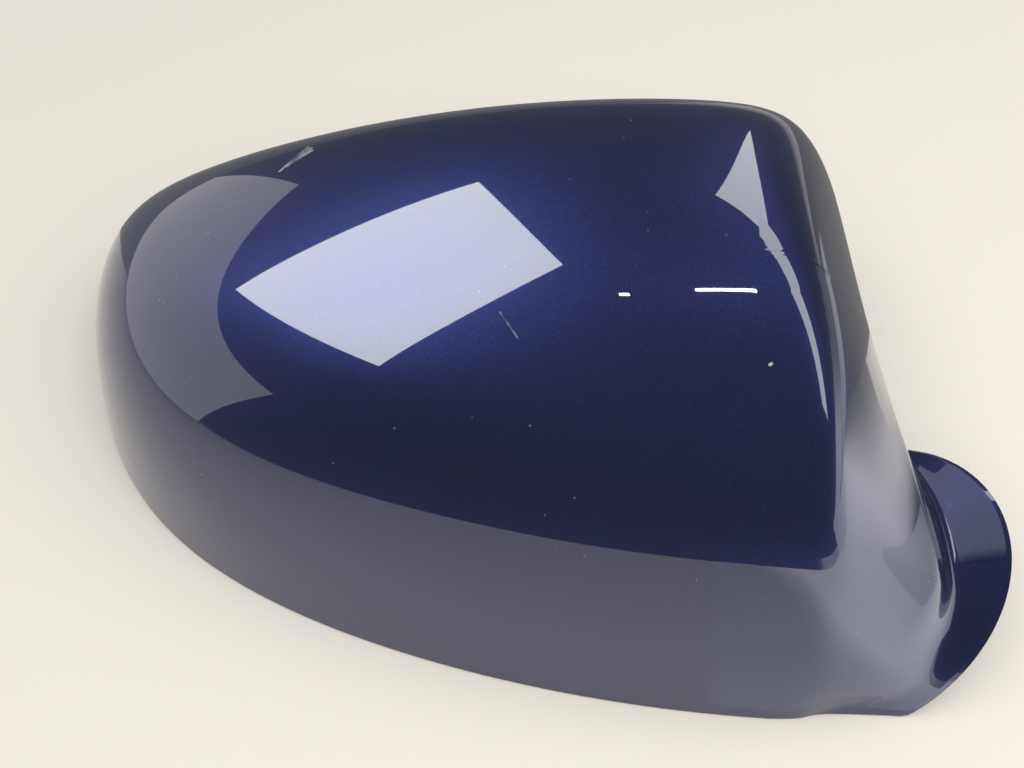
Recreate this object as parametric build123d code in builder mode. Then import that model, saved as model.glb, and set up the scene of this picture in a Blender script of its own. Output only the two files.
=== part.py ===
import os

import numpy as np
from build123d import *

# Wing mirror cover, a moulded shell lying on its rim: X runs from the rounded tip to the foot,
# Y from the near edge to the far edge, Z up from the rim. All lengths are in millimetres.

# Wall
wall = 2.4

# Crown: part of a ring shaped surface, highest at crown_x, crown_y
crown_x = 48.0
crown_y = 6.5
crown_z = 84.0
crown_long_radius = 344.0
crown_cross_radius = 236.0

# Near wall: a wide arc in plan, leaning inwards
near_x = 92.0
near_y = -82.2
near_radius = 412.0
near_lean = 14.5

# Far wall: a slow arc in plan, leaning inwards
far_x = 1.0
far_y = 80.5
far_radius = 900.0
far_lean = 12.0

# Tip wall: a bowed end, leaning inwards
tip_x = -123.0
tip_y = 42.5
tip_radius = 110.0
tip_lean = 6.0

# Inboard band: a bulged slope from the ridge down to the rim, rounded off towards the near wall
band_foot_x = 107.2
band_ridge_x = 72.0
band_ridge_drop = 4.0
band_bulge = 5.0
band_turn_y = -3.5
band_turn_width = 75.5
band_turn_growth = 1.6
band_skew = 0.064
band_turn_blend = 3.0
band_growth_blend = 4.0
band_low_height = 3.0
band_low_blend = 2.0

# Softness of the edges where these faces meet
near_blend = 15.5
far_blend = 6.0
tip_blend = 9.0
ridge_blend = 2.6
ridge_softening = 0.05
ridge_soft_y = 8.5
ridge_soft_blend = 6.0

# Foot: a short flared tube of oval rings parallel to its leaning end face
foot_x = 88.4
foot_y = -47.6
foot_yaw = -18.6
foot_lean = 46.0
foot_radius = 34.6
foot_tallness = 1.36
foot_narrowing = 9.0
foot_near_share = 0.12
foot_near_power = 2.0
foot_flare_length = 12.0
foot_lip = 1.6
foot_depth = 30.0
foot_run_out = 50.0

# Screw bosses under the crown, in a rectangle, each with a rib out to the wall beside it
boss_spacing_x = 100.0
boss_spacing_y = 88.0
boss_middle_y = 6.0
boss_radius = 5.0
boss_low_z = 14.0
pilot_radius = 1.75
pilot_depth = 16.0
rib_thickness = 2.0
rib_low_z = 22.0
rib_reach = 60.0

# Working values of the sections
band_ridge_z = crown_z - band_ridge_drop
below_rim = 6.0
slices = 22
last_slice = 0.985
slice_points = 120
rings = 11
ring_points = 48
reach = 220.0
halvings = 44
room = 400.0


def smooth_max(a, b, blend):
    """The larger of a and b, rounded over where they are within a few blends of each other."""
    return np.maximum(a, b) + blend * np.log1p(np.exp(-np.abs(a - b) / blend))


def smooth_min(a, b, blend):
    """The smaller of a and b, rounded over in the same way."""
    return -smooth_max(-a, -b, blend)


def crown_gap(x, y, z):
    """Distance outside the crown."""
    ring = np.hypot(x - crown_x, z - (crown_z - crown_long_radius)) - (crown_long_radius - crown_cross_radius)
    return np.hypot(ring, y - crown_y) - crown_cross_radius


def near_gap(x, y, z):
    """Distance outside the near wall."""
    lean = np.radians(near_lean)
    plan = np.hypot(x - near_x, y - near_y - near_radius) - near_radius
    return plan * np.cos(lean) + z * np.sin(lean)


def far_gap(x, y, z):
    """Distance outside the far wall."""
    lean = np.radians(far_lean)
    plan = y - far_y + (x - far_x) ** 2 / (2 * far_radius)
    return plan * np.cos(lean) + z * np.sin(lean)


def tip_gap(x, y, z):
    """Distance outside the tip wall."""
    lean = np.radians(tip_lean)
    bow = (y - tip_y) / tip_radius
    plan = (tip_x - x + bow**2 * tip_radius / 2) / np.sqrt(1 + bow**2)
    return plan * np.cos(lean) + z * np.sin(lean)


def band_gap(x, y, z):
    """Distance outside the inboard band: an arc in the XZ plane whose height falls off as a
    quarter ellipse towards the near wall."""
    chord = np.hypot(band_foot_x - band_ridge_x, band_ridge_z)
    radius = (chord**2 / 4 + band_bulge**2) / (2 * band_bulge)
    centre_x = (band_foot_x + band_ridge_x) / 2 - band_ridge_z / chord * (radius - band_bulge)
    centre_z = band_ridge_z / 2 - (band_foot_x - band_ridge_x) / chord * (radius - band_bulge)
    along = y - band_turn_y
    skewed = x + band_skew * along * (1 - np.clip(z / band_ridge_z, 0, 1))
    height = centre_z + np.sqrt(np.maximum(radius**2 - (skewed - centre_x) ** 2, 0))
    height = smooth_max(height, band_low_height, band_low_blend)
    width = band_turn_width + band_turn_growth * smooth_max(0, band_ridge_x - x, band_growth_blend)
    turned = smooth_min(along, 0, band_turn_blend)
    level = np.hypot(np.maximum(z, 0), height / width * turned)
    return np.hypot(skewed - centre_x, level - centre_z) - radius


def body_gap(x, y, z):
    """Distance outside the whole shell apart from its foot."""
    gap = smooth_max(crown_gap(x, y, z), near_gap(x, y, z), near_blend)
    gap = smooth_max(gap, far_gap(x, y, z), far_blend)
    gap = smooth_max(gap, tip_gap(x, y, z), tip_blend)
    ridge = ridge_blend + ridge_softening * smooth_max(0, y - ridge_soft_y, ridge_soft_blend)
    return smooth_max(gap, band_gap(x, y, z), ridge)


def halve(gap, inset, low, high):
    """Where the gap passes minus inset between low (inside) and high (outside)."""
    for _ in range(halvings):
        middle = (low + high) / 2
        inside = gap(middle) < -inset
        low = np.where(inside, middle, low)
        high = np.where(inside, high, middle)
    return (low + high) / 2


def top_height(inset):
    """Height of the shell on the axis through the crown."""
    start = np.array(0.0)
    return float(halve(lambda z: body_gap(crown_x, crown_y, z), inset, start, start + crown_z))


def slice_outline(z, inset):
    """Points of the level outline of the shell at height z."""
    turns = np.linspace(0, 2 * np.pi, slice_points, endpoint=False)
    along, across = np.cos(turns), np.sin(turns)
    near = np.zeros(slice_points)

    def gap(length):
        return body_gap(crown_x + length * along, crown_y + length * across, z)

    length = halve(gap, inset, near, near + reach)
    return list(zip(crown_x + length * along, crown_y + length * across))


def closed_curve(points):
    """Closed smooth curve through points, evenly spaced in its parameter."""
    steps = [i / len(points) for i in range(len(points) + 1)]
    return Edge.make_spline([Vector(*p) for p in points], periodic=True, parameters=steps)


def body_solid(inset):
    """Solid of the shell's outline, set in by inset, from below the rim to the crown."""
    top = top_height(inset)
    shares = [i / slices for i in range(slices)] + [last_slice]
    levels = [(top + below_rim) * np.sin(share * np.pi / 2) - below_rim for share in shares]
    with BuildPart() as body:
        for z in levels:
            with BuildSketch(Plane.XY.offset(z)):
                with BuildLine():
                    add(closed_curve(slice_outline(z, inset)))
                make_face()
        loft()
    return body.part


def foot_axes():
    """Outward normal of the foot's end face and the level direction in that face."""
    yaw, lean = np.radians(foot_yaw), np.radians(foot_lean)
    normal = Vector(np.cos(yaw) * np.cos(lean), -np.sin(yaw) * np.cos(lean), -np.sin(lean))
    return normal, Vector(np.sin(yaw), np.cos(yaw), 0)


def ring_radius(depth, turns):
    """Radius of the foot at a depth behind its end face: a short lip, then a flare that narrows
    inwards, less so towards the near side."""
    flare = 1 - np.exp(-max(depth - foot_lip, 0) / foot_flare_length)
    share = 1 - (1 - foot_near_share) * ((1 - np.cos(turns)) / 2) ** foot_near_power
    return foot_radius - foot_narrowing * flare * share


def foot_solid(inset):
    """Solid of the foot, set in by inset; the inner one also runs straight out of the mouth."""
    normal, level = foot_axes()
    turns = np.linspace(0, 2 * np.pi, ring_points, endpoint=False)
    depths = [foot_lip * i / 2 for i in range(2)]
    depths += [foot_lip + (foot_depth - foot_lip) * (i / rings) ** 2 for i in range(rings + 1)]
    with BuildPart() as foot:
        for depth in depths:
            origin = Vector(foot_x - depth / normal.X, foot_y, 0)
            radius = ring_radius(depth + inset, turns) - inset
            points = list(zip(radius * np.cos(turns), radius * foot_tallness * np.sin(turns)))
            with BuildSketch(Plane(origin, x_dir=level, z_dir=normal)):
                with BuildLine():
                    add(closed_curve(points))
                make_face()
        mouth = loft().faces().sort_by(Axis(Vector(), normal))[-1]
        if inset > 0:
            extrude(mouth, amount=foot_run_out, dir=(1, 0, 0))
    return foot.part


low_middle = (Align.CENTER, Align.CENTER, Align.MIN)
high_middle = (Align.CENTER, Align.CENTER, Align.MAX)
boss_xs = (-boss_spacing_x / 2, boss_spacing_x / 2)
boss_ys = (boss_middle_y - boss_spacing_y / 2, boss_middle_y + boss_spacing_y / 2)
boss_spots = [(x, y) for x in boss_xs for y in boss_ys]

# The shell's outer form, filled
with BuildPart() as full:
    add(body_solid(0))
    add(foot_solid(0))

# Bosses and ribs, running halfway into the wall
with BuildPart() as inside:
    for x, y in boss_spots:
        with Locations((x, y, boss_low_z)):
            Cylinder(boss_radius, crown_z, align=low_middle)
        outwards = Align.MIN if y > boss_middle_y else Align.MAX
        with Locations((x, y, rib_low_z)):
            Box(rib_thickness, rib_reach, crown_z, align=(Align.CENTER, outwards, Align.MIN))
    add(body_solid(wall / 2), mode=Mode.INTERSECT)

with BuildPart() as mirror_cover:
    add(full.part)
    add(body_solid(wall), mode=Mode.SUBTRACT)
    add(foot_solid(wall), mode=Mode.SUBTRACT)
    add(inside.part)
    for x, y in boss_spots:
        with Locations((x, y, boss_low_z)):
            Cylinder(pilot_radius, pilot_depth, align=low_middle, mode=Mode.SUBTRACT)

    # Nothing is left below the rim
    Box(room, room, room, align=high_middle, mode=Mode.SUBTRACT)

mirror_cover.part.label = "mirror_cover"

os.makedirs("parts", exist_ok=True)
export_step(mirror_cover.part, "parts/mirror_cover.step")
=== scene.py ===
import functools
import math

import bpy
import numpy as np
from bpy.props import FloatProperty, FloatVectorProperty, IntProperty, PointerProperty
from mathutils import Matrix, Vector


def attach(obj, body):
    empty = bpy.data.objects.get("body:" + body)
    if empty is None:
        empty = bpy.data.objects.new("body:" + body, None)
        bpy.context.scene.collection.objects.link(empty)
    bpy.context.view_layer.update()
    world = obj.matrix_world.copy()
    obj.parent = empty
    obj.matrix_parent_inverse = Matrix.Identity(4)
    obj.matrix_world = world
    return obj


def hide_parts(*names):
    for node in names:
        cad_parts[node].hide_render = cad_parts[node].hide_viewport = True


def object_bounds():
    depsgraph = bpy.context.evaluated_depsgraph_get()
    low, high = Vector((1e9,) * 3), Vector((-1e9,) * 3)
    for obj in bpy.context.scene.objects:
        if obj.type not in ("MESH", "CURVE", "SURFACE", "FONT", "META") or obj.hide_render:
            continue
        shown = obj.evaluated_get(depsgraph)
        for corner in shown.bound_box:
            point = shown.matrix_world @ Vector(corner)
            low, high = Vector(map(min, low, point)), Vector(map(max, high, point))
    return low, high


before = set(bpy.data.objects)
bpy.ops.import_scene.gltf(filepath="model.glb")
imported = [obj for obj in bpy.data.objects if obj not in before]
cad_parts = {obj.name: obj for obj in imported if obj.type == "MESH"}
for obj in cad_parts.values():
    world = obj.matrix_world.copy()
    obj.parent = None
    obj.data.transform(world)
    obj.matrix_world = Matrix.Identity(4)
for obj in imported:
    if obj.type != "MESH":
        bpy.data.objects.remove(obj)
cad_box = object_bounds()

bl_info = {
    "name": "Wing mirror cover",
    "version": (1, 0, 0),
    "blender": (4, 5, 0),
    "location": "3D View > Sidebar > Mirror cover",
    "description": "Builds a painted wing mirror cover on its packed frame, with a plain studio",
    "category": "Object",
}

MM = 0.001

# The shell's form, in millimetres, as the part's source gives it
WALL = 2.4
CROWN = dict(x=48.0, y=6.5, z=84.0, long_radius=344.0, cross_radius=236.0)
NEAR = dict(x=92.0, y=-82.2, radius=412.0, lean=math.radians(14.5))
FAR = dict(x=1.0, y=80.5, radius=900.0, lean=math.radians(12.0))
TIP = dict(x=-123.0, y=42.5, radius=110.0, lean=math.radians(6.0))
BAND = dict(foot_x=107.2, ridge_x=72.0, ridge_z=80.0, bulge=5.0, turn_y=-3.5, turn_width=75.5,
            turn_growth=1.6, skew=0.064, turn_blend=3.0, growth_blend=4.0, low_height=3.0, low_blend=2.0)
BLEND = dict(near=15.5, far=6.0, tip=9.0, ridge=2.6, ridge_softening=0.05, ridge_soft_y=8.5, ridge_soft=6.0)
FOOT = dict(x=88.4, y=-47.6, yaw=math.radians(-18.6), lean=math.radians(46.0), radius=34.6, tallness=1.36,
            narrowing=9.0, near_share=0.12, near_power=2.0, flare=12.0, lip=1.6, depth=30.0)
BOSSES = [(x, y) for x in (-50.0, 50.0) for y in (-38.0, 50.0)]
BOSS = dict(radius=5.0, low_z=14.0, pilot_radius=1.75, pilot_depth=16.0)
RIB = dict(thickness=2.0, low_z=22.0)

# Finer form that only the scene has: the ridge's sharper near end, the foot's fillet and small edges
SHARP_RIDGE = dict(by=1.2, start_y=-10.0, run=30.0)
FILLET = dict(most=9.5, least=0.2, near_y=-78.0, near_run=22.0, end_run=20.0)
TUBE_STEEPNESS = 0.95
BOSS_EDGE = 0.5
RIB_EDGE = 0.4

# Grids and searches: the eye deep below, the middle in plan, ranges to halve, and numbers of steps
EYE = np.array([40.0, -30.0, -300.0])
MIDDLE = np.array([5.0, 2.0])
LINE_RANGE = (0.97, 1.45)
LINE_ROUNDS = 26
REACH_RANGE = (40.0, 175.0)
HIGHEST = 100.0
ROUNDS = 30
SLOPE_STEP = 0.02
EDGE_STEPS = 4
BOSS_SIDES = 40
RIB_STEPS = 60
RIB_LONGEST = 80.0

# Marks in the paint, in millimetres: start, end and half width of each scratch
SCUFF = (((-59.7, 43.9, 63.1), (-53.2, 52.7, 63.0), 0.6),
         ((-57.9, 45.6, 63.4), (-52.3, 51.6, 63.7), 0.9),
         ((-56.2, 47.1, 63.6), (-51.9, 50.2, 64.2), 0.9))
FINE_SCRATCH = ((-1.7, -12.9, 77.9), (2.3, -19.5, 77.2), 0.3)
RIDGE_SCRATCH = ((69.3, -49.9, 63.0), (71.7, -52.7, 58.1), 0.35)
DARK_SCRATCH = ((83.0, -62.6, 36.9), (87.3, -68.2, 27.6), 0.4)
DARK = (0.006, 0.006, 0.010)

# The chip: start, end, the distance up to which it is full, and half width
CHIP = ((56.7, -27.9, 79.0), (57.1, -27.6, 79.0), 0.2, 0.5)

# How strongly each mark shows, and the scale of each pattern, in repeats to the metre
SHOWS = dict(scuff=0.7, fine=0.5, ridge=0.6, dust=0.45, dark=0.8)
SCALE = dict(flake=3600.0, mottle=45.0, peel=2600.0, scratch=260.0, speck=210.0, dusty=60.0,
             spray=70.0, grain=1400.0, flow=18.0, table=9.0)

# The studio, in millimetres: the table, the panels' tints, the lowest panels' height and the camera's aim
TABLE = dict(side=1600.0, near=-360.0, far=1600.0, z=-0.05, rows=8)
COOL, WARM = (0.96, 0.98, 0.98), (1.0, 0.98, 0.94)
LOW = 0.3
AIM = (1.0, 18.5, 0.0)


class CoverSizes(bpy.types.PropertyGroup):
    """Sizes of the moulded cover that a user may change."""

    wall: FloatProperty(
        name="Wall", description="Thickness of the moulded wall", default=WALL * MM, unit="LENGTH",
        subtype="DISTANCE")
    edge: FloatProperty(
        name="Edge rounding", description="Rounding of the rim's two edges", default=0.5 * MM, unit="LENGTH",
        subtype="DISTANCE")
    rows: IntProperty(
        name="Rows", description="Faces along each side of the skin's grid", default=196, min=40, max=200)


class CoverFinish(bpy.types.PropertyGroup):
    """Colours of the cover's finishes."""

    paint: FloatVectorProperty(
        name="Paint", description="Colour of the metallic paint", default=(0.010, 0.014, 0.080), size=3,
        subtype="COLOR", min=0.0, max=1.0)
    flake: FloatVectorProperty(
        name="Flake", description="Colour of the brighter metal flakes", default=(0.02, 0.04, 0.17), size=3,
        subtype="COLOR", min=0.0, max=1.0)
    primer: FloatVectorProperty(
        name="Primer", description="Pale primer that shows in chips and scuffs", default=(0.45, 0.45, 0.46),
        size=3, subtype="COLOR", min=0.0, max=1.0)
    plastic: FloatVectorProperty(
        name="Plastic", description="Bare moulded plastic on the inside", default=(0.016, 0.016, 0.018),
        size=3, subtype="COLOR", min=0.0, max=1.0)


class StudioSettings(bpy.types.PropertyGroup):
    """The plain studio around the cover."""

    table: FloatVectorProperty(
        name="Table", description="Colour of the pale table", default=(0.80, 0.77, 0.72), size=3,
        subtype="COLOR", min=0.0, max=1.0)
    room: FloatVectorProperty(
        name="Room", description="Colour of the dim room", default=(0.15, 0.155, 0.17), size=3,
        subtype="COLOR", min=0.0, max=1.0)
    lens: FloatProperty(
        name="Lens", description="Focal length of the camera in millimetres", default=40.43, min=10.0,
        max=200.0)
    elevation: FloatProperty(
        name="Elevation", description="Camera's height angle over the table", default=math.radians(57.0),
        unit="ROTATION", subtype="ANGLE")
    distance: FloatProperty(
        name="Distance", description="Camera's distance from the point it looks at", default=340.0 * MM,
        unit="LENGTH", subtype="DISTANCE")


def smooth_max(a, b, blend):
    """Larger of two fields, rounded over: the maximum plus blend times log(1 + exp(-difference / blend))."""
    return np.maximum(a, b) + blend * np.log1p(np.exp(-np.abs(a - b) / blend))


def smooth_min(a, b, blend):
    """Smaller of two fields, rounded over in the same way."""
    return -smooth_max(-a, -b, blend)


def smooth_step(share):
    """0 up to 0, 1 from 1 on, and 3 times the square less 2 times the cube in between."""
    held = np.clip(share, 0, 1)
    return held * held * (3 - 2 * held)


def halve(inside, low, high, rounds=ROUNDS):
    """Where a test that holds at low and fails at high stops holding, by halving the range between them."""
    for _ in range(rounds):
        middle = (low + high) / 2
        held = inside(middle)
        low, high = np.where(held, middle, low), np.where(held, high, middle)
    return low


def crown_gap(x, y, z):
    """Distance outside a ring with a long radius in the XZ plane and a cross radius in the YZ plane."""
    spread = CROWN["long_radius"] - CROWN["cross_radius"]
    ring = np.hypot(x - CROWN["x"], z - CROWN["z"] + CROWN["long_radius"]) - spread
    return np.hypot(ring, y - CROWN["y"]) - CROWN["cross_radius"]


def near_gap(x, y, z):
    """Distance outside a cone like wall that is a wide circle in plan and leans inwards."""
    plan = np.hypot(x - NEAR["x"], y - NEAR["y"] - NEAR["radius"]) - NEAR["radius"]
    return plan * math.cos(NEAR["lean"]) + z * math.sin(NEAR["lean"])


def far_gap(x, y, z):
    """Distance outside a wall that is a slow parabola in plan and leans inwards."""
    plan = y - FAR["y"] + (x - FAR["x"]) ** 2 / (2 * FAR["radius"])
    return plan * math.cos(FAR["lean"]) + z * math.sin(FAR["lean"])


def tip_gap(x, y, z):
    """Distance outside the bowed end wall, a parabola in plan that leans inwards."""
    bow = (y - TIP["y"]) / TIP["radius"]
    plan = (TIP["x"] - x + bow**2 * TIP["radius"] / 2) / np.sqrt(1 + bow**2)
    return plan * math.cos(TIP["lean"]) + z * math.sin(TIP["lean"])


def band_gap(x, y, z):
    """Distance outside the inboard slope: an arc in the XZ plane from ridge to rim, whose height falls off
    as a quarter ellipse towards the near wall."""
    chord = math.hypot(BAND["foot_x"] - BAND["ridge_x"], BAND["ridge_z"])
    radius = (chord**2 / 4 + BAND["bulge"] ** 2) / (2 * BAND["bulge"])
    run = radius - BAND["bulge"]
    centre_x = (BAND["foot_x"] + BAND["ridge_x"]) / 2 - BAND["ridge_z"] / chord * run
    centre_z = BAND["ridge_z"] / 2 - (BAND["foot_x"] - BAND["ridge_x"]) / chord * run
    along = y - BAND["turn_y"]
    skewed = x + BAND["skew"] * along * (1 - np.clip(z / BAND["ridge_z"], 0, 1))
    height = centre_z + np.sqrt(np.maximum(radius**2 - (skewed - centre_x) ** 2, 0))
    height = smooth_max(height, BAND["low_height"], BAND["low_blend"])
    growth = smooth_max(0, BAND["ridge_x"] - x, BAND["growth_blend"])
    width = BAND["turn_width"] + BAND["turn_growth"] * growth
    turned = smooth_min(along, 0, BAND["turn_blend"])
    level = np.hypot(np.maximum(z, 0), height / width * turned)
    return np.hypot(skewed - centre_x, level - centre_z) - radius


def body_gap(x, y, z):
    """Distance outside crown, walls and band together, each joined to the last by a rounded maximum."""
    gap = smooth_max(crown_gap(x, y, z), near_gap(x, y, z), BLEND["near"])
    gap = smooth_max(gap, far_gap(x, y, z), BLEND["far"])
    gap = smooth_max(gap, tip_gap(x, y, z), BLEND["tip"])
    softer = smooth_max(0, y - BLEND["ridge_soft_y"], BLEND["ridge_soft"])
    sharper = np.clip((SHARP_RIDGE["start_y"] - y) / SHARP_RIDGE["run"], 0, 1)
    ridge = BLEND["ridge"] + BLEND["ridge_softening"] * softer - SHARP_RIDGE["by"] * sharper
    return smooth_max(gap, band_gap(x, y, z), ridge)


def foot_axes():
    """Outward normal of the foot's end face, and the level and the rising direction in that face."""
    yaw, lean = FOOT["yaw"], FOOT["lean"]
    normal = np.array([math.cos(yaw) * math.cos(lean), -math.sin(yaw) * math.cos(lean), -math.sin(lean)])
    level = np.array([math.sin(yaw), math.cos(yaw), 0.0])
    return normal, level, np.cross(normal, level)


def end_gap(x, y, z):
    """Distance beyond the foot's leaning end face."""
    normal = foot_axes()[0]
    return (x - FOOT["x"]) * normal[0] + (y - FOOT["y"]) * normal[1] + z * normal[2]


def tube_gap(x, y, z, inset):
    """Distance outside the foot's tube, set in by inset: at a depth behind the end face it is an ellipse
    whose radius falls from the lip by an exponential flare, less so towards the near side. Beyond the end
    face the tube runs straight on."""
    normal, level, rise = foot_axes()
    depth = -end_gap(x, y, z)
    dx, dy = x - FOOT["x"] + depth / normal[0], y - FOOT["y"]
    side = dx * level[0] + dy * level[1]
    up = dx * rise[0] + dy * rise[1] + z * rise[2]
    around = np.maximum(np.hypot(side, up / FOOT["tallness"]), 1e-6)
    near = np.clip((1 - side / around) / 2, 0, 1) ** FOOT["near_power"]
    share = 1 - (1 - FOOT["near_share"]) * near
    flare = 1 - np.exp(-np.maximum(depth + inset - FOOT["lip"], 0) / FOOT["flare"])
    radius = FOOT["radius"] - FOOT["narrowing"] * flare * share - inset
    return (around - radius) * TUBE_STEEPNESS


def foot_gap(x, y, z, inset):
    """Distance outside the tube or behind its inner end, whichever is larger."""
    return np.maximum(tube_gap(x, y, z, inset), -end_gap(x, y, z) - FOOT["depth"])


def shell_gap(points, inset):
    """Distance outside the whole form, set in by inset: the rounded minimum of body and foot, tighter
    towards the near side, where the two run side by side, and towards the foot's end face."""
    x, y, z = points[..., 0], points[..., 1], points[..., 2]
    share = smooth_step((y - FILLET["near_y"]) / FILLET["near_run"])
    share = share * smooth_step(-end_gap(x, y, z) / FILLET["end_run"])
    blend = FILLET["least"] + (FILLET["most"] - FILLET["least"]) * share
    return smooth_min(body_gap(x, y, z) + inset, foot_gap(x, y, z, inset), blend)


def slopes(points, inset):
    """Unit outward normals of the form, from central differences of its distance."""
    grads = [shell_gap(points + step, inset) - shell_gap(points - step, inset)
             for step in SLOPE_STEP * np.eye(3)]
    normals = np.stack(grads, -1)
    return normals / np.linalg.norm(normals, axis=-1, keepdims=True)


def lift(plan, inset):
    """Points of the skin on the lines from the eye deep below through plan points on the rim's plane: each
    line is halved between a low point inside the form and a high one outside it."""
    lines = np.concatenate([plan, np.zeros(plan.shape[:-1] + (1,))], -1) - EYE

    def inside(share):
        return shell_gap(EYE + share[..., None] * lines, inset) < 0

    low, high = (np.full(plan.shape[:-1], share) for share in LINE_RANGE)
    return EYE + halve(inside, low, high, LINE_ROUNDS)[..., None] * lines


def border(turns, inset, edge):
    """Length of each line in plan, from the middle outwards, at which the skin meets the rim, the foot's end
    face or the side of its mouth, less the edge rounding."""
    ways = np.stack([np.cos(turns), np.sin(turns)], -1)

    def inside(length):
        x, y, z = np.moveaxis(lift(MIDDLE + length[..., None] * ways, inset), -1, 0)
        left = np.minimum(z, np.maximum(-end_gap(x, y, z), tube_gap(x, y, z, inset))) - edge
        return left > 0

    low, high = (np.full(turns.shape, length) for length in REACH_RANGE)
    return halve(inside, low, high)


def skin(rows, inset, edge):
    """Grid of points on the skin: a square is bent to a disc, the disc's radius is the share of the length
    measured over the skin from the middle to the border, and its angle is the direction in plan."""
    around, along, rings = 4 * rows, 3 * rows, 2 * rows
    fine_turns = np.linspace(-math.pi, math.pi, around + 1)
    reach = border(fine_turns[:-1], inset, edge)
    reach = np.append(reach, reach[:1])
    shares = np.linspace(0, 1, along + 1)
    ways = np.stack([np.cos(fine_turns), np.sin(fine_turns)], -1)
    lines = lift(MIDDLE + (shares[:, None] * reach)[..., None] * ways, inset)
    steps = np.linalg.norm(np.diff(lines, axis=0), axis=-1)
    length = np.concatenate([np.zeros((1, len(fine_turns))), np.cumsum(steps, 0)])
    length = length / length[-1]
    wanted = np.linspace(0, 1, rings + 1)
    even = np.stack([np.interp(wanted, column, shares) for column in length.T], 1) * reach

    side = np.linspace(-1, 1, rows + 1)
    a, b = np.meshgrid(side, side, indexing="ij")
    u, v = a * np.sqrt(1 - b * b / 2), b * np.sqrt(1 - a * a / 2)
    angle = np.arctan2(v, u)
    radius = np.clip(np.hypot(u, v), 0, 1) * rings
    turn = (angle + math.pi) / (2 * math.pi) * around
    i, j = np.minimum(radius.astype(int), rings - 1), np.minimum(turn.astype(int), around - 1)
    fi, fj = radius - i, turn - j
    inner = even[i, j] * (1 - fj) + even[i, j + 1] * fj
    outer = even[i + 1, j] * (1 - fj) + even[i + 1, j + 1] * fj
    out = inner * (1 - fi) + outer * fi
    plan = MIDDLE + out[..., None] * np.stack([np.cos(angle), np.sin(angle)], -1)
    return lift(plan, inset)


def grid_numbers(rows):
    """Numbers of the points of a square grid."""
    return np.arange((rows + 1) ** 2).reshape(rows + 1, rows + 1)


def border_loop(rows):
    """Grid numbers of the square's border, once round, anticlockwise from its first corner."""
    number = grid_numbers(rows)
    return np.concatenate([number[:-1, 0], number[-1, :-1], number[:0:-1, -1], number[0, :0:-1]])


def grid_faces(rows, flip):
    """Quads of the square grid, the other way round if flip is set."""
    number = grid_numbers(rows)
    quads = np.stack([number[:-1, :-1], number[1:, :-1], number[1:, 1:], number[:-1, 1:]], -1).reshape(-1, 4)
    return quads[:, ::-1] if flip else quads


def ring_faces(number):
    """Quads between closed rings of points, from the points' numbers, one ring in each row."""
    turned = np.roll(number, -1, 1)
    return np.stack([number[:-1], number[1:], turned[1:], turned[:-1]], -1).reshape(-1, 4)


def rim_rings(outer, inner, edge):
    """Rings across the rim from the outer to the inner border: a quarter circle down to the rim's face, the
    flat face, and a quarter circle up again. Down is straight down at the rim, along the end face's normal
    at the foot, and along -Y at the side of its mouth."""
    across = inner - outer
    across = across / np.linalg.norm(across, axis=-1, keepdims=True)
    high = (outer[:, 2] > 2 * edge)[:, None]
    mouth_side = (tube_gap(*outer.T, 0.0) > edge / 2)[:, None] & (end_gap(*outer.T) > 0)[:, None]
    down = np.where(mouth_side, np.array([0.0, -1.0, 0.0]), foot_axes()[0])
    down = np.where(high, down, np.array([0.0, 0.0, -1.0]))
    turns = np.linspace(0, math.pi / 2, EDGE_STEPS + 1)[1:]
    first = [outer + edge * ((1 - math.cos(t)) * across + math.sin(t) * down) for t in turns]
    second = [inner + edge * (-(1 - math.cos(t)) * across + math.sin(t) * down) for t in turns[::-1]]
    return np.concatenate(first + second)


def turned_profile(profile, spot, sides):
    """Points and faces of a closed profile of (radius, height) pairs turned about a spot's upright line."""
    turns = np.linspace(0, 2 * math.pi, sides, endpoint=False)
    radius, height = np.array(profile).T
    ring = np.stack([np.cos(turns), np.sin(turns)], -1)
    points = np.concatenate([spot + radius[:, None, None] * ring,
                             np.broadcast_to(height[:, None, None], (len(radius), sides, 1))], -1)
    return points.reshape(-1, 3), ring_faces(np.arange(len(radius) * sides).reshape(-1, sides))


def ceiling(x, y):
    """Height of the middle of the wall over plan points, by halving."""
    low, high = np.zeros(np.shape(x)), np.full(np.shape(x), HIGHEST)
    return halve(lambda z: body_gap(x, y, z) < -WALL / 2, low, high)


def boss_shape(spot):
    """A screw boss: a profile from the pilot hole's floor down its wall, round the mouth and up the outside,
    turned about its axis. Its upper end follows the middle of the wall."""
    low, edge, sides = BOSS["low_z"], BOSS_EDGE, BOSS_SIDES
    profile = [(0.0, low + BOSS["pilot_depth"]), (BOSS["pilot_radius"], low + BOSS["pilot_depth"]),
               (BOSS["pilot_radius"], low + edge), (BOSS["pilot_radius"] + edge, low),
               (BOSS["radius"] - edge, low), (BOSS["radius"], low + edge), (BOSS["radius"], 0.0), (0.0, 0.0)]
    points, faces = turned_profile(profile, np.array(spot), sides)
    top = points[-2 * sides:]
    top[:, 2] = ceiling(top[:, 0], top[:, 1])
    return points, faces


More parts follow.
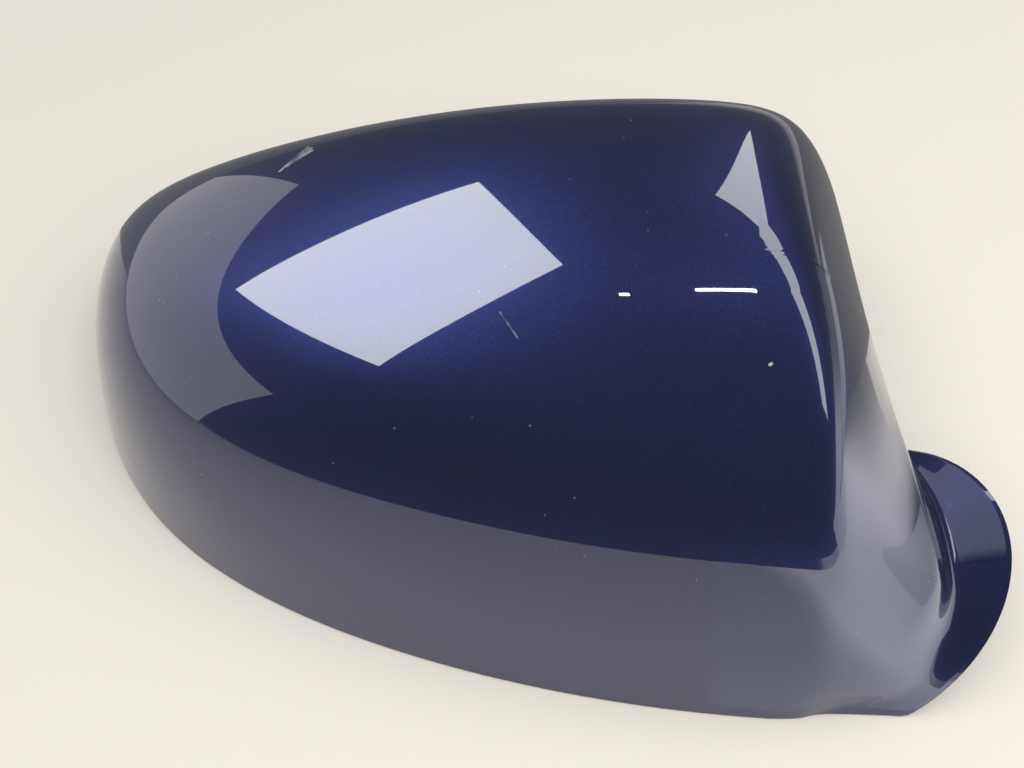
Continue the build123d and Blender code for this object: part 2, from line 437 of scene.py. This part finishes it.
def rib_shape(spot):
    """A rib from a boss to the wall beside it: an upright strip with bevelled lower edges, carried along Y,
    whose upper edge follows the middle of the wall."""
    half, edge, base = RIB["thickness"] / 2, RIB_EDGE, RIB["low_z"]
    outwards = 1 if spot[1] > CROWN["y"] else -1

    def inside(run):
        return body_gap(spot[0], spot[1] + outwards * run, base) < -WALL / 2

    length = halve(inside, np.array(0.0), np.array(RIB_LONGEST))
    y = spot[1] + outwards * np.linspace(0, 1, RIB_STEPS) * length
    across = np.array([-half, -half, -half + edge, half - edge, half, half])
    corners = len(across)
    x, ys = np.meshgrid(spot[0] + across, y)
    top = np.maximum(ceiling(x, ys), base + edge)
    low = [np.full(len(y), base + rise) for rise in (edge, 0.0, 0.0, edge)]
    z = np.stack([top[:, 0], *low, top[:, -1]], 1)
    points = np.stack([x, ys, z], -1).reshape(-1, 3)
    faces = ring_faces(np.arange(len(points)).reshape(-1, corners))
    ends = np.array([[0, 1, 2, 3], [0, 3, 4, 5]])
    return points, np.concatenate([faces, ends[:, ::-1], ends + len(points) - corners])


def facing_out(points, faces):
    """The faces, turned over as a whole if the volume they enclose comes out negative."""
    a, b, c, d = points[faces.T]
    volume = (np.einsum("ij,ij->i", a, np.cross(b, c)) + np.einsum("ij,ij->i", a, np.cross(c, d))).sum()
    return faces if volume > 0 else faces[:, ::-1]


def shell_mesh(rows, edge, wall):
    """Points, faces, material numbers and normals of the shell: the outer skin, the inner skin, the strip
    across the rim between their borders, and the bosses and ribs. Normals are given for the skins only;
    where they are zero, they come from the faces."""
    outside, inside = (skin(rows, inset, edge).reshape(-1, 3) for inset in (0.0, wall))
    loop = border_loop(rows)
    rim = rim_rings(outside[loop], inside[loop], edge)
    start = len(outside)
    skins = 2 * start
    between = skins + np.arange(len(rim)).reshape(-1, len(loop))
    strip = ring_faces(np.concatenate([loop[None], between, start + loop[None]]))
    points = [outside, inside, rim]
    faces = [grid_faces(rows, False), strip, grid_faces(rows, True) + start]
    slots = [0, 0, 1]
    total = skins + len(rim)
    for spot in BOSSES:
        for shape_points, shape_faces in (boss_shape(spot), rib_shape(spot)):
            points.append(shape_points)
            faces.append(facing_out(shape_points, shape_faces) + total)
            slots.append(1)
            total += len(shape_points)
    normals = np.zeros((total, 3))
    normals[:start] = slopes(outside, 0.0)
    normals[start:skins] = -slopes(inside, wall)
    slots = np.repeat(slots, [len(some) for some in faces]).astype(np.int32)
    return np.concatenate(points), np.concatenate(faces), slots, normals


class Value:
    """A shader socket that Python operators can work on: each one adds a Math node."""

    def __init__(self, wires, socket):
        self.wires, self.socket = wires, socket

    def maths(self, operation, *values):
        """One step of arithmetic."""
        return self.wires.node("ShaderNodeMath", {"operation": operation}, dict(enumerate(values)))

    def __add__(self, other):
        return self.maths("ADD", self, other)

    def __sub__(self, other):
        return self.maths("SUBTRACT", self, other)

    def __rsub__(self, other):
        return self.maths("SUBTRACT", other, self)

    def __mul__(self, other):
        return self.maths("MULTIPLY", self, other)

    __radd__, __rmul__ = __add__, __mul__

    def between(self, low, high):
        """0 up to low, 1 from high on, smooth in between."""
        return self.wires.node("ShaderNodeMapRange", {"interpolation_type": "SMOOTHSTEP"},
                               {"Value": self, "From Min": low, "From Max": high})

    def larger(self, other):
        """The larger of two values."""
        return self.maths("MAXIMUM", self, other)


class Wires:
    """A material's nodes, made one at a time by node()."""

    def __init__(self, name):
        self.material = bpy.data.materials.new(name)
        self.material.use_nodes = True
        self.tree = self.material.node_tree
        self.tree.nodes.clear()

    def node(self, kind, settings, inputs, out=0):
        """Adds a node of a kind, sets its settings first, then the values or links of its sockets."""
        made = self.tree.nodes.new(kind)
        for name, value in settings.items():
            setattr(made, name, value)
        for key, value in inputs.items():
            if isinstance(value, Value):
                self.tree.links.new(value.socket, made.inputs[key])
            else:
                made.inputs[key].default_value = value
        return Value(self, made.outputs[out]) if made.outputs else None

    def place(self):
        """Object coordinates, in metres."""
        return self.node("ShaderNodeTexCoord", {}, {}, "Object")

    def axis(self, place, name):
        """One coordinate of a place."""
        return self.node("ShaderNodeSeparateXYZ", {}, {"Vector": place}, name)

    def noise(self, place, scale, detail):
        """Cloudy values around 0.5."""
        return self.node("ShaderNodeTexNoise", {}, {"Vector": place, "Scale": scale, "Detail": detail})

    def cells(self, place, scale, out):
        """Cells around scattered points: the distance from the nearest point, or a colour for each cell."""
        return self.node("ShaderNodeTexVoronoi", {"feature": "F1"}, {"Vector": place, "Scale": scale}, out)

    def mix(self, share, first, second):
        """A colour between two, by a share."""
        return self.node("ShaderNodeMix", {"data_type": "RGBA"}, {0: share, 6: first, 7: second}, 2)

    def bump(self, strength, distance, height):
        """Normals of a fine relief, whose distance is in millimetres."""
        return self.node("ShaderNodeBump", {},
                         {"Strength": strength, "Distance": distance * MM, "Height": height})

    def vector(self, operation, inputs, out=0):
        """One step of vector arithmetic."""
        return self.node("ShaderNodeVectorMath", {"operation": operation}, inputs, out)

    def line(self, place, start, end):
        """Distance from a straight line between two points in millimetres: the length of the place less the
        nearest point of the line."""
        start, end = ([v * MM for v in point] for point in (start, end))
        run = [b - a for a, b in zip(start, end)]
        square = sum(r * r for r in run)
        off = self.vector("SUBTRACT", {0: place, 1: start})
        along = self.vector("DOT_PRODUCT", {0: off, 1: [r / square for r in run]}, "Value")
        held = self.node("ShaderNodeClamp", {}, {"Value": along})
        nearest = self.vector("SCALE", {0: run, "Scale": held})
        left = self.vector("SUBTRACT", {0: off, 1: nearest})
        return self.vector("LENGTH", {0: left}, "Value")

    def finish(self, shader):
        """The material, with a shader as its surface."""
        self.node("ShaderNodeOutputMaterial", {}, {"Surface": shader})
        return self.material


def solid(colour):
    """A colour with full alpha."""
    return (*colour, 1.0)


def toned(colour, share):
    """A colour made darker or brighter by a share, with full alpha."""
    return solid([share * c for c in colour])


def mark(wires, place, start, end, full, width):
    """Mask of a mark along a line: 1 up to a distance of full millimetres, 0 from one of width on."""
    return 1 - wires.line(place, start, end).between(full * MM, width * MM)


def scratch(wires, place, start, end, width, gaps=0.5):
    """Mask of one thin scratch that fades unevenly along its length, more so with more gaps."""
    faded = wires.noise(place, SCALE["scratch"], 1.0).between(gaps - 0.25, gaps + 0.25)
    return mark(wires, place, start, end, 0.2 * width, width) * faded


def paint_material(finish):
    """Dark blue metallic paint under a clear coat: flakes, slight mottling, fine scratches, a scuff, a chip
    and a little dust."""
    wires = Wires("blue_metallic_paint")
    place = wires.place()
    grain = wires.cells(place, SCALE["flake"], "Color")
    sparkle = wires.node("ShaderNodeSeparateColor", {}, {"Color": grain}, "Red").between(0.80, 1.0)
    mottle = wires.noise(place, SCALE["mottle"], 3.0) - 0.5
    colour = wires.mix(sparkle * 0.45 + mottle * 0.25, solid(finish.paint), solid(finish.flake))

    specks = 1 - wires.cells(place, SCALE["speck"], "Distance").between(0.035, 0.055)
    dusty = wires.noise(place, SCALE["dusty"], 1.0).between(0.52, 0.62)
    marks = [scratch(wires, place, *streak, gaps=0.3) * SHOWS["scuff"] for streak in SCUFF]
    marks += [scratch(wires, place, *FINE_SCRATCH) * SHOWS["fine"],
              scratch(wires, place, *RIDGE_SCRATCH) * SHOWS["ridge"],
              mark(wires, place, *CHIP), specks * dusty * SHOWS["dust"]]
    wear = functools.reduce(Value.larger, marks)
    colour = wires.mix(wear, colour, solid(finish.primer))
    dark = scratch(wires, place, *DARK_SCRATCH)
    colour = wires.mix(dark * SHOWS["dark"], colour, solid(DARK))

    shader = wires.node("ShaderNodeBsdfPrincipled", {}, {
        "Base Color": colour, "Metallic": 0.7 - wear * 0.6,
        "Roughness": mottle * 0.06 + 0.34 + wear * 0.3, "Specular IOR Level": 0.1,
        "Normal": wires.bump(0.12, 0.2, wires.noise(place, SCALE["peel"], 1.0)),
        "Coat Weight": 1 - wear.larger(dark) * 0.9, "Coat Roughness": 0.02, "Coat IOR": 1.75})
    return wires.finish(shader)


def plastic_material(finish):
    """Bare moulded plastic of the inside: fine grain, faint flow marks and blue overspray near the rim."""
    wires = Wires("bare_plastic")
    place = wires.place()
    cloud = wires.noise(place, SCALE["spray"], 4.0) - 0.5
    spray = 1 - (wires.axis(place, "Z") + cloud * (12 * MM)).between(MM, 12 * MM)
    grain = wires.noise(place, SCALE["grain"], 3.0)
    flow = wires.noise(place, SCALE["flow"], 2.0)
    tone = wires.mix(flow, toned(finish.plastic, 0.7), toned(finish.plastic, 1.5))
    shader = wires.node("ShaderNodeBsdfPrincipled", {}, {
        "Base Color": wires.mix(spray * 0.75, tone, solid(finish.paint)),
        "Roughness": (grain - 0.5) * 0.15 + 0.55, "Normal": wires.bump(0.25, 0.3, grain)})
    return wires.finish(shader)


def table_material(studio):
    """Pale dull table top with faint cloudy tone."""
    wires = Wires("pale_table")
    cloud = wires.noise(wires.place(), SCALE["table"], 4.0)
    colour = wires.mix((cloud - 0.5) * 0.5 + 0.5, toned(studio.table, 0.985), solid(studio.table))
    shader = wires.node("ShaderNodeBsdfPrincipled", {}, {
        "Base Color": colour, "Roughness": 0.6, "Specular IOR Level": 0.0})
    return wires.finish(shader)


def add_piece(name, points, faces, materials):
    """A smooth mesh object from points in millimetres, linked to the scene."""
    mesh = bpy.data.meshes.new(name)
    mesh.from_pydata((points * MM).tolist(), [], faces.tolist())
    mesh.polygons.foreach_set("use_smooth", np.ones(len(mesh.polygons), dtype=bool))
    for material in materials:
        mesh.materials.append(material)
    piece = bpy.data.objects.new(name, mesh)
    bpy.context.scene.collection.objects.link(piece)
    return piece


class COVER_OT_shell(bpy.types.Operator):
    """Builds the moulded shell: painted outside, rim, bare inside, screw bosses and ribs"""

    bl_idname = "mirror_cover.shell"
    bl_label = "Moulded shell"

    def execute(self, context):
        sizes, finish = context.scene.cover_sizes, context.scene.cover_finish
        points, faces, slots, normals = shell_mesh(sizes.rows, sizes.edge / MM, sizes.wall / MM)
        points = np.clip(points, *(np.array(corner) / MM for corner in cad_box))
        piece = add_piece("moulded_shell", points, faces, [paint_material(finish), plastic_material(finish)])
        piece.data.polygons.foreach_set("material_index", slots)
        piece.data.normals_split_custom_set_from_vertices(normals.tolist())
        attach(piece, "root")
        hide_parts("mirror_cover")
        return {"FINISHED"}


def softbox(name, corners, strength, colour, fade=None, mirrored=True):
    """A soft light: one flat panel with four corners in millimetres. It shows in shiny surfaces only, or
    only lights the dull ones; fade holds an axis, the place on it up to which the panel is at full
    strength, the place where it is dim, and how dim."""
    wires = Wires(name)
    shade = solid(colour)
    if fade:
        axis, full, dim, left = fade
        along = wires.axis(wires.place(), axis)
        shade = wires.mix(along.between(full * MM, dim * MM), shade, toned(colour, left))
    glow = wires.node("ShaderNodeEmission", {}, {"Color": shade, "Strength": strength})
    panel = add_piece(name, np.array(corners), np.array([[0, 1, 2, 3]]), [wires.finish(glow)])
    panel.visible_camera = False
    panel.visible_glossy = mirrored
    panel.visible_diffuse = not mirrored
    panel.visible_shadow = False


def add_table(studio):
    """The table top, a level grid of even steps."""
    steps = TABLE["rows"] + 1
    sides, depths = (np.linspace(*ends, steps) for ends in ((-TABLE["side"], TABLE["side"]),
                                                            (TABLE["near"], TABLE["far"])))
    x, y = np.meshgrid(sides, depths, indexing="ij")
    points = np.stack([x, y, np.full(x.shape, TABLE["z"])], -1).reshape(-1, 3)
    table = add_piece("table", points, grid_faces(TABLE["rows"], False), [table_material(studio)])


def add_lights(studio, scene):
    """The dim room, one wide light for the dull surfaces, and the panels that the shiny paint shows."""
    world = bpy.data.worlds.new("dim_room")
    world.use_nodes = True
    world.node_tree.nodes["Background"].inputs["Color"].default_value = solid(studio.room)
    scene.world = world
    softbox("fill_panel", [(-700.0, -1000.0, 900.0), (-700.0, 500.0, 900.0), (1500.0, 500.0, 900.0),
                           (1500.0, -1000.0, 900.0)], 2.12, WARM, mirrored=False)

    # A window and lamps overhead
    softbox("window_panel", [(-779.0, 422.0, 530.0), (-250.0, 795.0, 650.0), (-126.0, 483.0, 918.0),
                             (-697.0, -116.0, 906.0)], 6.5, COOL)
    softbox("back_panel", [(366.0, 871.0, 371.0), (212.0, 671.0, 701.0), (300.0, 600.0, 740.0),
                           (375.0, 554.0, 770.0)], 4.2, COOL)
    softbox("side_panel", [(309.0, 580.0, 664.0), (299.0, 507.0, 712.0), (641.0, -90.0, 625.0),
                           (756.0, -106.0, 477.0)], 3.8, COOL)
    softbox("tube_panel", [(144.0, 340.0, 902.0), (144.0, 352.0, 902.0), (281.0, 361.0, 882.0),
                           (281.0, 349.0, 882.0)], 60.0, WARM)
    softbox("lamp_panel", [(-16.0, 320.0, 929.0), (-16.0, 332.0, 929.0), (4.0, 332.0, 929.0),
                           (4.0, 320.0, 929.0)], 60.0, WARM)

    # The pale wall to the left
    softbox("left_panel", [(-640.0, 960.0, 0.0), (-640.0, 960.0, 430.0), (-980.0, -330.0, 540.0),
                           (-980.0, -330.0, 0.0)], 1.15, WARM)

    # Paler and darker parts of the table, just over it
    softbox("right_panel", [(150.0, -84.0, LOW), (150.0, 40.0, LOW), (900.0, 40.0, LOW),
                            (900.0, -84.0, LOW)], 2.0, WARM, fade=("Y", -30.0, 40.0, 0.16))
    softbox("far_panel", [(112.0, 40.0, LOW), (112.0, 300.0, LOW), (900.0, 300.0, LOW),
                          (900.0, 40.0, LOW)], 0.22, WARM)
    softbox("near_panel", [(50.0, -84.0, LOW), (900.0, -84.0, LOW), (900.0, -360.0, LOW),
                           (50.0, -360.0, LOW)], 2.0, WARM, fade=("X", 125.0, 80.0, 0.465))

    # Low pale walls to the right and in front
    softbox("right_wall", [(420.0, -360.0, 0.5), (420.0, -360.0, 110.0), (420.0, 260.0, 110.0),
                           (420.0, 260.0, 0.5)], 1.6, WARM, fade=("Y", -60.0, 160.0, 0.25))
    softbox("front_wall", [(165.0, -362.0, 0.5), (165.0, -362.0, 30.0), (420.0, -362.0, 30.0),
                           (420.0, -362.0, 0.5)], 1.1, WARM, fade=("X", 205.0, 165.0, 0.2))

    # A small pale panel over the foot
    softbox("hood_panel", [(104.0, -61.0, 62.0), (104.0, 40.0, 62.0), (130.0, 40.0, 62.0),
                           (130.0, -61.0, 62.0)], 0.9, COOL, fade=("Y", -52.0, -61.0, 0.1))

    # The darker table behind
    softbox("behind_panel", [(-118.0, 75.0, LOW), (-1600.0, 900.0, LOW), (112.0, 1600.0, LOW),
                             (112.0, 92.0, LOW)], 0.26, WARM)


def add_camera(studio, scene):
    """The camera, in front of the cover and high over the table."""
    camera = bpy.data.cameras.new("camera")
    camera.lens, camera.sensor_width = studio.lens, 36.0
    camera.clip_start, camera.clip_end = 0.01, 20.0
    viewer = bpy.data.objects.new("camera", camera)
    back = Vector((0.0, -math.cos(studio.elevation), math.sin(studio.elevation)))
    viewer.location = Vector(AIM) * MM + back * studio.distance
    viewer.rotation_euler = (-back).to_track_quat("-Z", "Y").to_euler()
    scene.collection.objects.link(viewer)
    scene.camera = viewer


class COVER_OT_studio(bpy.types.Operator):
    """Sets up the pale table, the soft lights and the camera"""

    bl_idname = "mirror_cover.studio"
    bl_label = "Studio"

    def execute(self, context):
        studio, scene = context.scene.cover_studio, context.scene
        add_table(studio)
        add_lights(studio, scene)
        add_camera(studio, scene)
        scene.view_settings.view_transform = "Standard"
        return {"FINISHED"}


class COVER_PT_sidebar(bpy.types.Panel):
    """Sizes, finishes and steps of the mirror cover"""

    bl_idname = "COVER_PT_sidebar"
    bl_label = "Mirror cover"
    bl_space_type = "VIEW_3D"
    bl_region_type = "UI"
    bl_category = "Mirror cover"

    def draw(self, context):
        scene = context.scene
        for group in (scene.cover_sizes, scene.cover_finish, scene.cover_studio):
            for name in group.__annotations__:
                self.layout.prop(group, name)
        self.layout.operator(COVER_OT_shell.bl_idname)
        self.layout.operator(COVER_OT_studio.bl_idname)


CLASSES = (CoverSizes, CoverFinish, StudioSettings, COVER_OT_shell, COVER_OT_studio, COVER_PT_sidebar)


def register():
    for cls in CLASSES:
        bpy.utils.register_class(cls)
    bpy.types.Scene.cover_sizes = PointerProperty(type=CoverSizes)
    bpy.types.Scene.cover_finish = PointerProperty(type=CoverFinish)
    bpy.types.Scene.cover_studio = PointerProperty(type=StudioSettings)


def unregister():
    del bpy.types.Scene.cover_studio
    del bpy.types.Scene.cover_finish
    del bpy.types.Scene.cover_sizes
    for cls in reversed(CLASSES):
        bpy.utils.unregister_class(cls)


def main():
    register()
    bpy.ops.mirror_cover.shell()
    bpy.ops.mirror_cover.studio()


if __name__ == "__main__":
    main()
